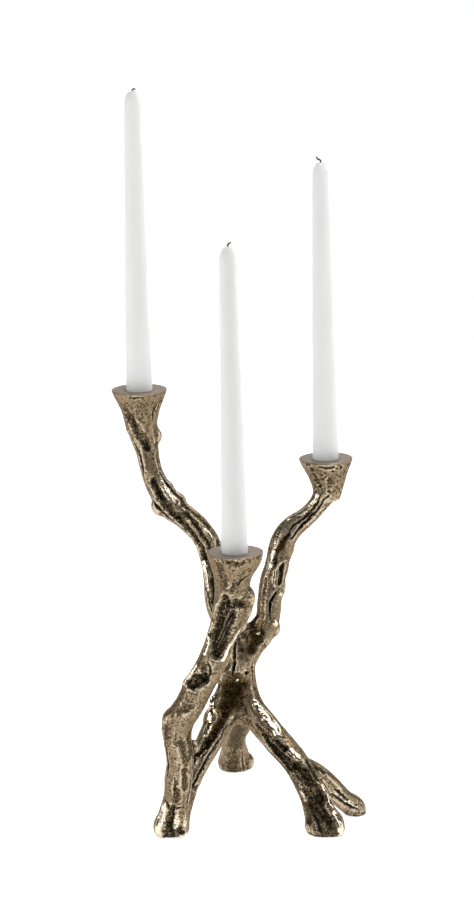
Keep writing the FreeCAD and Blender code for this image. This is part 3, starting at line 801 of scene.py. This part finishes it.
def close_with_rings(bm, loop, rings, centre, machined=0.0):
    """Closes a hole from its loop of vertices, through rings of points, to one middle point."""
    layer = bm.verts.layers.float.get("machined")
    for points in rings:
        inner = [bm.verts.new(p) for p in points]
        for vert in inner:
            vert[layer] = machined
        for i, vert in enumerate(inner):
            k = (i + 1) % len(inner)
            bm.faces.new((loop[i], loop[k], inner[k], vert)).smooth = True
        loop = inner
    middle = bm.verts.new(centre)
    middle[layer] = machined
    for i, vert in enumerate(loop):
        bm.faces.new((vert, loop[(i + 1) % len(loop)], middle)).smooth = True


def ring_at(loop, centre, radius, drop):
    """Points at one radius below the rim's centre, at the angles of the loop's vertices."""
    down = Vector((0, 0, -drop))
    return [centre + ((v.co - centre).xy.normalized().to_3d() * radius + down) * MM for v in loop]


def inset(loop, centre, inward, drop):
    """The loop's points moved towards the centre, and down by the drop."""
    down = Vector((0, 0, -drop))
    return [v.co + (down - (v.co - centre).xy.normalized().to_3d() * inward) * MM for v in loop]


LIP_ROUND = 0.7
FOOT_ROUND = 1.0
SCREW_HOLE_RADIUS = SCREW_HEAD_RADIUS + 0.1


def drill_cup(bm, name):
    """Cuts a cup's rim flat, rounds its lip and drills its socket, with a screw hole in the floor."""
    rim, countersink, _ = CUPS[name]
    centre = in_frame(rim)
    loop = in_order(cut_loop(bm, rim, (0, 0, 1), RIM_REACH, True))
    rings = [inset(loop, centre, LIP_ROUND * 0.3, LIP_ROUND * 0.3), inset(loop, centre, LIP_ROUND, 0)]
    bevel = max(countersink, 0.5)
    mouth = ring_at(loop, centre, SOCKET_RADIUS + bevel, 0)
    flat = rings[-1]
    rings += [[a.lerp(b, share) for a, b in zip(flat, mouth)] for share in (0.25, 0.5, 0.75, 1.0)]
    hole_depth = SOCKET_DEPTH + SCREW_HEAD_HEIGHT
    depths = (bevel, SOCKET_DEPTH / 3, SOCKET_DEPTH * 2 / 3, SOCKET_DEPTH)
    steps = [(SOCKET_RADIUS, depth) for depth in depths]
    steps += [((SOCKET_RADIUS + SCREW_HOLE_RADIUS) / 2, SOCKET_DEPTH), (SCREW_HOLE_RADIUS, SOCKET_DEPTH),
              (SCREW_HOLE_RADIUS / 2, hole_depth)]
    rings += [ring_at(loop, centre, radius, depth) for radius, depth in steps]
    for vert in loop:
        vert.co.z -= LIP_ROUND * MM
    close_with_rings(bm, loop, rings, centre - Vector((0, 0, hole_depth)) * MM, 1.0)


def flatten_foot(bm, name):
    """Cuts a foot flat on its pad, and rounds its lower edge."""
    x, y, _, _ = LIMBS[name][-1]
    centre = in_frame((x, y, PAD_THICKNESS))
    loop = in_order(cut_loop(bm, (x, y, PAD_THICKNESS), (0, 0, -1), FOOT_REACH, True))
    rings = [inset(loop, centre, FOOT_ROUND * 0.3, -FOOT_ROUND * 0.3), inset(loop, centre, FOOT_ROUND, 0)]
    flat = rings[-1]
    rings += [[p.lerp(centre, share) for p in flat] for share in (0.3, 0.65)]
    for vert in loop:
        vert.co.z += FOOT_ROUND * MM
    close_with_rings(bm, loop, rings, centre)


def close_joints(bm):
    """Closes every open loop with a flat face, and marks its vertices as the border of a joint."""
    border = bm.verts.layers.float.get("border")
    for edges in connected([e for e in bm.edges if e.is_boundary]):
        loop = in_order(edges)
        middle = sum((v.co for v in loop), Vector()) / len(loop)
        for vert in loop:
            vert[border] = 1.0
        close_with_rings(bm, loop, [[v.co.lerp(middle, 0.5) for v in loop]], middle)


def islands(bm):
    """The number of the separate skin that each vertex belongs to."""
    number = {}
    for count, group in enumerate(connected(bm.edges)):
        number.update((vert, count) for edge in group for vert in edge.verts)
    return np.array([number[v] for v in bm.verts])


def cut_apart(mesh):
    """Trims the cups and feet, cuts the skin at the joints, and gives it back with each vertex's island."""
    store(mesh, "border", np.zeros(len(mesh.vertices)))
    bm = bmesh.new()
    bm.from_mesh(mesh)
    for name in CUPS:
        drill_cup(bm, name)
    for limb in PADS.values():
        flatten_foot(bm, limb)
    for name, (rim, _, outline) in CUPS.items():
        depth, shift, _ = outline[-1]
        seam = cut_loop(bm, (rim[0] + shift, rim[1], rim[2] - depth), (0, 0, 1), SEAM_REACH, False)
        bmesh.ops.split_edges(bm, edges=seam)
    for name, station in JOINTS:
        before, place, after = (np.array(LIMBS[name][station + k][:3], float) for k in (-1, 0, 1))
        seam = cut_loop(bm, place, after - before, JOINT_REACH, False)
        bmesh.ops.split_edges(bm, edges=seam)
    close_joints(bm)
    bmesh.ops.recalc_face_normals(bm, faces=bm.faces)
    bm.verts.index_update()
    number = islands(bm)
    bm.to_mesh(mesh)
    bm.free()
    return number


LOOKS = ("hollow", "patina_and_shade", "polish_and_highlight", "brown", "grain", "machined", "border")


def piece_of(mesh, number, which, name):
    """One island of the skin as a mesh of its own, with its looks, and sharp edges round its joints."""
    kept = np.where(number == which)[0]
    place = np.full(len(number), -1)
    place[kept] = np.arange(len(kept))
    points = coordinates(mesh)[kept]
    faces = [tuple(place[list(f.vertices)]) for f in mesh.polygons if place[f.vertices[0]] >= 0]
    piece = mesh_of(name, points, faces)
    looks = {look: read(mesh.attributes[look].data, "value", 1)[kept, 0] for look in LOOKS}
    for look, values in looks.items():
        store(piece, look, values)
    ends, _ = neighbours(piece)
    piece.edges.foreach_set("use_edge_sharp", np.all(looks["border"][ends] > 0.5, axis=1))
    piece.update()
    return piece


def make_castings():
    skin = sculpted(remeshed(rough_body(), SKIN_VOXEL))
    number = cut_apart(skin)
    points = coordinates(skin)
    pieces = {}
    for name, (part, station) in CASTINGS.items():
        place, _ = place_on(part, station, 0)
        which = number[np.linalg.norm(points - place, axis=1).argmin()]
        piece = new_object("cast_" + name, piece_of(skin, number, which, name))
        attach(piece, "stand")
        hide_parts(name)
        pieces[which] = piece
    if not len(pieces) == number.max() + 1 == len(CASTINGS):
        raise RuntimeError("the castings didn't come apart: %s" % np.bincount(number))
    bpy.data.meshes.remove(skin)
    return list(pieces.values())


# ---- tapers, wicks and felt pads

def lathed(profile, centre, sides):
    """Points and faces turned about a vertical axis, from a pole at the bottom to a pole at the top."""
    centre = np.array(centre, float)
    turns = np.column_stack([np.cos(circle(sides)), np.sin(circle(sides)), np.zeros(sides)])
    rings = [centre + radius * turns + (0, 0, height) for radius, height in profile[1:-1]]
    return poled(rings, centre + (0, 0, profile[0][1]), centre + (0, 0, profile[-1][1]))


def poled(rings, first, last):
    """A closed skin through rings, with a pole at each end."""
    n = len(rings[0])
    points = [first] + [p for ring in rings for p in ring] + [last]
    faces = []
    top = len(points) - 1
    for i in range(n):
        k = (i + 1) % n
        faces.append((0, 1 + k, 1 + i))
        faces.append((top, top - n + i, top - n + k))
        for start in range(1, top - n, n):
            faces.append((start + i, start + k, start + k + n, start + i + n))
    return points, faces


# How each taper leans to the right in its socket: the shift at its foot, and the angle in degrees.
LEANS = {"left": (0.2, 0.35), "front": (0.0, 0.0), "right": (0.0, 0.0)}
NOSE_FLAT = 1.6


def taper_profile():
    """A taper's (radius, height) points: straight in the socket, then narrowing to a rounded nose."""
    base, shoulder = TAPER_BASE_RADIUS, TAPER_LENGTH - TAPER_NOSE
    profile = [(0, 0), (base - 0.8, 0), (base - 0.25, 0.25), (base, 0.8), (base, SOCKET_DEPTH / 2)]
    for t in np.linspace(0, 1, 44):
        height = SOCKET_DEPTH + (shoulder - SOCKET_DEPTH) * t
        profile.append((base + (TAPER_SHOULDER_RADIUS - base) * t, height))
    for turn in np.linspace(0.1, 1, 12) * math.pi / 2:
        radius = NOSE_FLAT + (TAPER_SHOULDER_RADIUS - NOSE_FLAT) * math.cos(turn)
        profile.append((radius, shoulder + TAPER_NOSE * math.sin(turn)))
    return profile + [(WICK_RADIUS + 0.3, TAPER_LENGTH - 0.5), (0, TAPER_LENGTH - 0.6)]


def socket_floor(name):
    x, y, z = CUPS[name][0]
    return np.array([x, y, z - SOCKET_DEPTH], float)


def leaned(points, name):
    """Points of a taper or its wick, leaning in the socket's play."""
    shift, degrees = LEANS[name]
    heights = points[:, 2] - socket_floor(name)[2]
    return points + np.outer(shift + heights * math.tan(math.radians(degrees)), (1, 0, 0))


def make_taper(name, seed):
    points, faces = lathed(taper_profile(), socket_floor(name), 72)
    points = np.array(points)
    out = (points - socket_floor(name)) * (1, 1, 0)
    out /= np.maximum(np.linalg.norm(out, axis=1), 1e-6)[:, None]
    waves = layered(points * (1, 1, 0.35), [(0.16, 14, seed)]) + layered(points, [(0.05, 5, seed + 1)])
    points = leaned(points + out * waves[:, None], name)
    piece = new_object("wax_taper_" + name, mesh_of("wax_" + name, points, faces))
    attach(piece, "candle_" + name)
    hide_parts("taper_" + name)
    return piece


WICK_STEP = 0.4
WICK_BEND_STEP = 0.3


def wick_path(name):
    """Points up the wick, far apart in the wax, then close together and round its burnt bends."""
    base = socket_floor(name)
    rows = [base + (0, 0, z) for z in np.append(np.arange(0.5, TAPER_LENGTH - 4, 12), TAPER_LENGTH - 3)]
    rows += [base + (0, 0, TAPER_LENGTH + z) for z in np.arange(-2.4, WICK_STRAIGHT, WICK_STEP)]
    heading = 0.0
    for radius, degrees, side in WICK_ENDS[name]:
        count = int(radius * math.radians(degrees) / WICK_BEND_STEP) + 1
        turn = math.radians(degrees) / count
        for _ in range(count):
            heading += side * turn / 2
            rows.append(rows[-1] + radius * turn * np.array([math.sin(heading), 0, math.cos(heading)]))
            heading += side * turn / 2
    return np.array(rows)


def make_wick(name):
    path = wick_path(name)
    ways, run, angles = directions(path), run_along(path), circle(14)
    rings, char = [], [0.0]
    for row, way, place in zip(path, ways, run):
        side = unit(np.cross(way, (0, 1, 0)))
        other = np.cross(way, side)
        burnt = step(TAPER_LENGTH - 0.5, TAPER_LENGTH + 1.2, place)
        thin = 1 - 0.22 * step(run[-1] - 2.5, run[-1], place)
        braid = 1 + 0.13 * np.sin(3 * angles + 3.4 * place) + 0.06 * np.sin(5 * angles - 5.1 * place)
        rings.append([row + WICK_RADIUS * thin * k * (math.cos(a) * side + math.sin(a) * other)
                      for a, k in zip(angles, braid)])
        char += [float(burnt)] * len(angles)
    points, faces = poled(rings, path[0], path[-1] + ways[-1] * 0.35)
    mesh = mesh_of("wick_" + name, leaned(np.array(points), name), faces)
    store(mesh, "char", np.array(char + [1.0]))
    piece = new_object("cotton_wick_" + name, mesh)
    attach(piece, "candle_" + name)
    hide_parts("wick_" + name)
    return piece


# The felt pads, and the limb that each is under.
PADS = {"foot_pad_front_left": "front", "foot_pad_front_right": "right_root", "foot_pad_spur": "spur",
        "foot_pad_back": "back_root"}


def make_pad(node, limb):
    x, y, _, foot = LIMBS[limb][-1]
    radius, top = foot * PAD_SHARE, PAD_THICKNESS
    edge = [(radius - 0.35, 0), (radius, 0.3), (radius, 0.7), (radius - 0.3, top)]
    profile = [(radius * k, 0) for k in (0, 0.4, 0.75)] + edge + [(radius * k, top) for k in (0.75, 0.4, 0)]
    points, faces = lathed(profile, (x, y, 0), 64)
    points = np.array(points)
    out = (points - (x, y, 0)) * (1, 1, 0) / radius
    points += out * 0.25 * gradient_noise(points, 2.2, 11)[:, None]
    piece = new_object("felt_" + node, mesh_of(node, points, faces))
    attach(piece, "stand")
    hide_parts(node)
    return piece


# ---- materials

class Nodes:
    """Short ways to add a material's nodes. Sizes of patterns are in millimetres."""

    def __init__(self, name):
        self.material = bpy.data.materials.new(name)
        self.material.use_nodes = True
        self.tree = self.material.node_tree
        self.shader = self.tree.nodes["Principled BSDF"]
        self.place = self.tree.nodes.new("ShaderNodeTexCoord").outputs["Object"]

    def put(self, socket, value):
        if isinstance(value, bpy.types.NodeSocket):
            self.tree.links.new(value, socket)
        else:
            socket.default_value = value

    def node(self, kind, inputs, output=0, **settings):
        """The output of a new node with these inputs and settings."""
        node = self.tree.nodes.new("ShaderNode" + kind)
        for name, value in settings.items():
            setattr(node, name, value)
        for name, value in inputs.items():
            self.put(node.inputs[name], value)
        return node.outputs[output]

    def noise(self, size, detail=3.0, roughness=0.55):
        inputs = {"Vector": self.place, "Scale": 1 / (size * MM), "Detail": detail, "Roughness": roughness}
        return self.node("TexNoise", inputs, "Fac")

    def look(self, name):
        return self.node("Attribute", {}, "Fac", attribute_name=name)

    def math(self, kind, a, b, clamp=False):
        return self.node("Math", {0: a, 1: b}, operation=kind, use_clamp=clamp)

    def times(self, a, b):
        return self.math("MULTIPLY", a, b)

    def less(self, a, b):
        return self.math("SUBTRACT", a, b)

    def most(self, a, b):
        return self.math("MAXIMUM", a, b)

    def plus(self, total, *terms):
        for term in terms:
            total = self.math("ADD", total, term)
        return total

    def fade(self, value, low, high, start=0.0, stop=1.0):
        """A smooth change from start, where the value is low, to stop, where it is high."""
        inputs = dict(enumerate((value, low, high, start, stop)))
        return self.node("MapRange", inputs, interpolation_type="SMOOTHSTEP")

    def blend(self, share, a, b):
        return self.node("Mix", {0: share, 6: a, 7: b}, 2, data_type="RGBA")

    def bump(self, height, depth, under=None):
        """Small relief, depth millimetres deep, on top of the relief under it."""
        inputs = {"Distance": depth * MM, "Height": height}
        if under:
            inputs["Normal"] = under
        return self.node("Bump", inputs)

    def finish(self, pieces, **sockets):
        for name, value in sockets.items():
            self.put(self.shader.inputs[name.replace("_", " ")], value)
        for piece in pieces:
            piece.data.materials.clear()
            piece.data.materials.append(self.material)


# The metal's colours: two of each, which vary softly over the castings.
TAN = (0.24, 0.178, 0.108, 1), (0.31, 0.233, 0.146, 1)
TAN_IN_GRAIN = (0.16, 0.115, 0.065, 1)
OLIVE = (0.075, 0.048, 0.016, 1), (0.17, 0.115, 0.048, 1)
# A pale colour for raised marks and convex edges: partly polished wear, partly painted highlight.
WORN_AND_PAINTED_HIGHLIGHT = (0.92, 0.83, 0.64, 1)
DEEP = (0.002, 0.0015, 0.001, 1), (0.018, 0.012, 0.006, 1)
GLINT = (0.42, 0.31, 0.17, 1)
FRESH_CUT = (0.35, 0.30, 0.265, 1), (0.39, 0.335, 0.295, 1)


def cast_metal(pieces):
    n = Nodes("antique_brass")
    hollow, patina_and_shade, polish_and_highlight = n.look("hollow"), n.look("patina_and_shade"), n.look("polish_and_highlight")
    brown, machined, grain = n.look("brown"), n.look("machined"), n.look("grain")
    fine, speckle, blotch = n.noise(0.9, 2.0), n.noise(2.3, 3.0, 0.75), n.noise(14, 3.0)
    cast = n.fade(machined, 0.1, 0.6, 1.0, 0.0)
    smooth = n.fade(n.most(brown, polish_and_highlight), 0.2, 1.0, 1.0, 0.3)
    specks = n.less(speckle, 0.5)

    # The dark patina, and the painted shade of some marks: broken into flecks where it is thin, and solid
    # where it is deep.
    reach = n.plus(n.times(0.18, patina_and_shade), n.times(0.06, hollow), n.times(0.24, n.less(blotch, 0.5)),
                   n.times(0.06, n.less(smooth, 1.0)), 0.497)
    flecks = n.fade(n.less(reach, speckle), -0.03, 0.05)
    soft = n.fade(n.plus(patina_and_shade, n.times(0.3, hollow)), 0.1, 1.2)
    soft = n.times(soft, n.fade(brown, 0.2, 1.0, 1.0, 0.35))
    dark = n.math("MULTIPLY", n.most(n.times(0.82, flecks), n.times(0.97, soft)), cast, True)

    tan = n.blend(n.fade(blotch, 0.3, 0.7), *TAN)
    tan = n.blend(n.times(0.5, n.fade(grain, 0.1, 0.6)), tan, TAN_IN_GRAIN)
    tan = n.blend(n.fade(brown, 0.0, 1.0), tan, n.blend(n.fade(blotch, 0.35, 0.65), *OLIVE))
    # Painted highlight, partly polished wear: the marks' polish and the convex edges are made pale.
    broken = n.fade(n.plus(polish_and_highlight, n.times(0.9, specks)), 0.3, 0.9)
    wear_and_painted_highlight = n.most(broken, n.times(0.4, n.fade(hollow, -0.8, -1.5)))
    tan = n.blend(n.times(0.8, wear_and_painted_highlight), tan, WORN_AND_PAINTED_HIGHLIGHT)
    glints = n.fade(n.plus(fine, n.times(0.13, grain)), 0.62, 0.70)
    deep = n.blend(glints, n.blend(n.fade(fine, 0.45, 0.75), *DEEP), GLINT)
    cut = n.blend(n.fade(speckle, 0.3, 0.7), *FRESH_CUT)
    colour = n.blend(cast, cut, n.blend(dark, tan, deep))

    rough = n.less(n.less(0.32, n.times(0.14, wear_and_painted_highlight)), n.times(0.04, brown))
    rough = n.most(n.plus(rough, n.times(0.20, specks)), n.times(0.5, machined))
    height = n.times(n.less(speckle, n.times(0.3, flecks)), n.plus(smooth, n.times(0.8, soft)))
    relief = n.bump(n.times(cast, height), 0.28)
    relief = n.bump(n.times(fine, n.plus(0.15, cast)), 0.08, relief)
    n.finish(pieces, Base_Color=colour, Roughness=rough, Metallic=1.0, Normal=relief,
             Specular_Tint=(0.64, 0.59, 0.53, 1))


def wax(pieces):
    n = Nodes("candle_wax")
    colour = n.blend(n.noise(22, 3.0), (0.76, 0.765, 0.76, 1), (0.80, 0.805, 0.80, 1))
    rough = n.fade(n.noise(3, 3.0), 0.3, 0.7, 0.5, 0.6)
    relief = n.bump(n.noise(5, 3.0), 0.06)
    n.finish(pieces, Base_Color=colour, Roughness=rough, Normal=relief, Subsurface_Weight=0.5,
             Subsurface_Radius=(0.006, 0.0055, 0.005), Subsurface_Scale=1.0, IOR=1.44,
             Specular_IOR_Level=0.15)


def cotton(pieces):
    n = Nodes("burnt_cotton")
    char = n.look("char")
    thread = n.noise(0.35, 2.0)
    root = n.blend(n.fade(char, 0.1, 0.5), (0.75, 0.70, 0.60, 1), (0.20, 0.10, 0.04, 1))
    ash = n.blend(thread, (0.012, 0.011, 0.010, 1), (0.045, 0.040, 0.036, 1))
    colour = n.blend(n.fade(char, 0.4, 0.9), root, ash)
    rough = n.fade(thread, 0.2, 0.8, 0.75, 0.95)
    n.finish(pieces, Base_Color=colour, Roughness=rough, Normal=n.bump(thread, 0.15), Specular_IOR_Level=0.2)


def felt(pieces):
    n = Nodes("black_felt")
    fibre, cloud = n.noise(0.3, 4.0, 0.7), n.noise(4, 2.0)
    colour = n.blend(fibre, (0.018, 0.017, 0.016, 1), (0.075, 0.070, 0.064, 1))
    rough = n.fade(cloud, 0.3, 0.7, 0.88, 0.98)
    n.finish(pieces, Base_Color=colour, Roughness=rough, Normal=n.bump(fibre, 0.25), Sheen_Weight=0.3)


def steel(pieces):
    n = Nodes("turned_steel")
    smear, fine = n.noise(3, 4.0), n.noise(0.4, 3.0)
    colour = n.blend(smear, (0.50, 0.50, 0.51, 1), (0.62, 0.62, 0.62, 1))
    rough = n.fade(smear, 0.3, 0.7, 0.28, 0.42)
    n.finish(pieces, Base_Color=colour, Roughness=rough, Metallic=1.0, Normal=n.bump(fine, 0.03))


castings = make_castings()
cast_metal(castings)
wax([make_taper(name, 20 + 2 * k) for k, name in enumerate(CUPS)])
cotton([make_wick(name) for name in CUPS])
felt([make_pad(node, limb) for node, limb in PADS.items()])
steel([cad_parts["cup_screws"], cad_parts["joint_studs"]])


# ---- floor, lights and camera

VIEWPOINT = np.array([0.0, -2941.8, 1038.5])
VIEW_PITCH = 13.0
VIEW_ROLL = 1.3
VIEW_LENS = 135.1
SENSOR_HEIGHT = 36.0
FAR_CLIP = 30.0

# From here sizes are in metres. Softboxes: the place, what it faces, the width, height and brightness.
SOFTBOXES = {
    "left_box": ((-1.5, -0.7, 0.85), (0, 0, 0.25), 0.55, 1.4, 5.5),
    "right_box": ((1.6, -0.4, 0.9), (0, 0, 0.25), 0.5, 1.4, 4.0),
    "top_box": ((0.6, -0.1, 1.8), (0, 0, 0.2), 1.6, 1.0, 3.6),
    "front_fill": ((0.4, -3.8, 1.5), (0, 0, 0.3), 3.0, 1.8, 0.2),
}
FLOOR_FRONT, FLOOR_BACK, FLOOR_WIDTH = -5.0, 2.2, 8.0
WALL_BEND, WALL_HEIGHT = 1.2, 4.0
BEND_STEPS = 12
SURROUNDINGS_RADIUS = 14.0
WORLD_COLOUR = (0.02, 0.019, 0.018, 1)


def add_softbox(name, place, target, width, height, brightness):
    data = bpy.data.lights.new(name, "AREA")
    data.shape = "RECTANGLE"
    data.size = width
    data.size_y = height
    data.energy = brightness * math.pi * width * height
    light = new_object(name, data)
    way = Vector(target) - Vector(place)
    light.matrix_world = Matrix.LocRotScale(Vector(place), way.to_track_quat("-Z", "Y"), None)


def strip(name, outline):
    """A strip as wide as the floor, along an outline of (y, z)."""
    points = [(side * FLOOR_WIDTH / 2, y, z) for y, z in outline for side in (-1, 1)]
    faces = [(2 * k, 2 * k + 1, 2 * k + 3, 2 * k + 2) for k in range(len(outline) - 1)]
    return new_object(name, smooth_mesh(name, points, faces))


def add_floor():
    """A level pale floor and a bent wall behind it, which lights the object but isn't seen itself."""
    floor = strip("floor", [(FLOOR_FRONT, 0.0), (FLOOR_BACK, 0.0)])
    bend = [math.radians(90 * k / BEND_STEPS) for k in range(BEND_STEPS + 1)]
    outline = [(FLOOR_BACK + WALL_BEND * math.sin(turn), WALL_BEND * (1 - math.cos(turn))) for turn in bend]
    wall = strip("wall", outline + [(FLOOR_BACK + WALL_BEND, WALL_HEIGHT)])
    wall.visible_camera = False
    n = Nodes("pale_paper")
    colour = n.blend(n.noise(4, 3.0), (0.90, 0.90, 0.90, 1), (0.92, 0.92, 0.92, 1))
    n.finish([floor, wall], Base_Color=colour, Roughness=0.9, Emission_Color=(1, 1, 1, 1),
             Emission_Strength=0.8, Specular_IOR_Level=0.1)


def add_surroundings():
    """A large white ball round everything that only the camera sees."""
    points, faces = ball((0, 0, 0), SURROUNDINGS_RADIUS, level=4)
    around = new_object("surroundings", smooth_mesh("surroundings", points, faces))
    for ray in ("diffuse", "glossy", "transmission", "volume_scatter", "shadow"):
        setattr(around, "visible_" + ray, False)
    n = Nodes("white_surroundings")
    n.finish([around], Base_Color=(0, 0, 0, 1), Specular_IOR_Level=0.0, Emission_Color=(1, 1, 1, 1),
             Emission_Strength=1.0)


def add_camera():
    data = bpy.data.cameras.new("camera")
    data.sensor_fit = "VERTICAL"
    data.sensor_height = SENSOR_HEIGHT
    data.lens = VIEW_LENS
    data.clip_end = FAR_CLIP
    camera = new_object("camera", data)
    pitch = Matrix.Rotation(math.radians(90 - VIEW_PITCH), 4, "X")
    roll = Matrix.Rotation(math.radians(-VIEW_ROLL), 4, "Z")
    camera.matrix_world = Matrix.Translation(in_frame(VIEWPOINT)) @ pitch @ roll
    bpy.context.scene.camera = camera


def add_world():
    world = bpy.data.worlds.new("dim_room")
    world.use_nodes = True
    world.node_tree.nodes["Background"].inputs["Color"].default_value = WORLD_COLOUR
    bpy.context.scene.world = world
    bpy.context.scene.view_settings.view_transform = "Standard"


add_world()
add_floor()
add_surroundings()
for name, values in SOFTBOXES.items():
    add_softbox(name, *values)
add_camera()
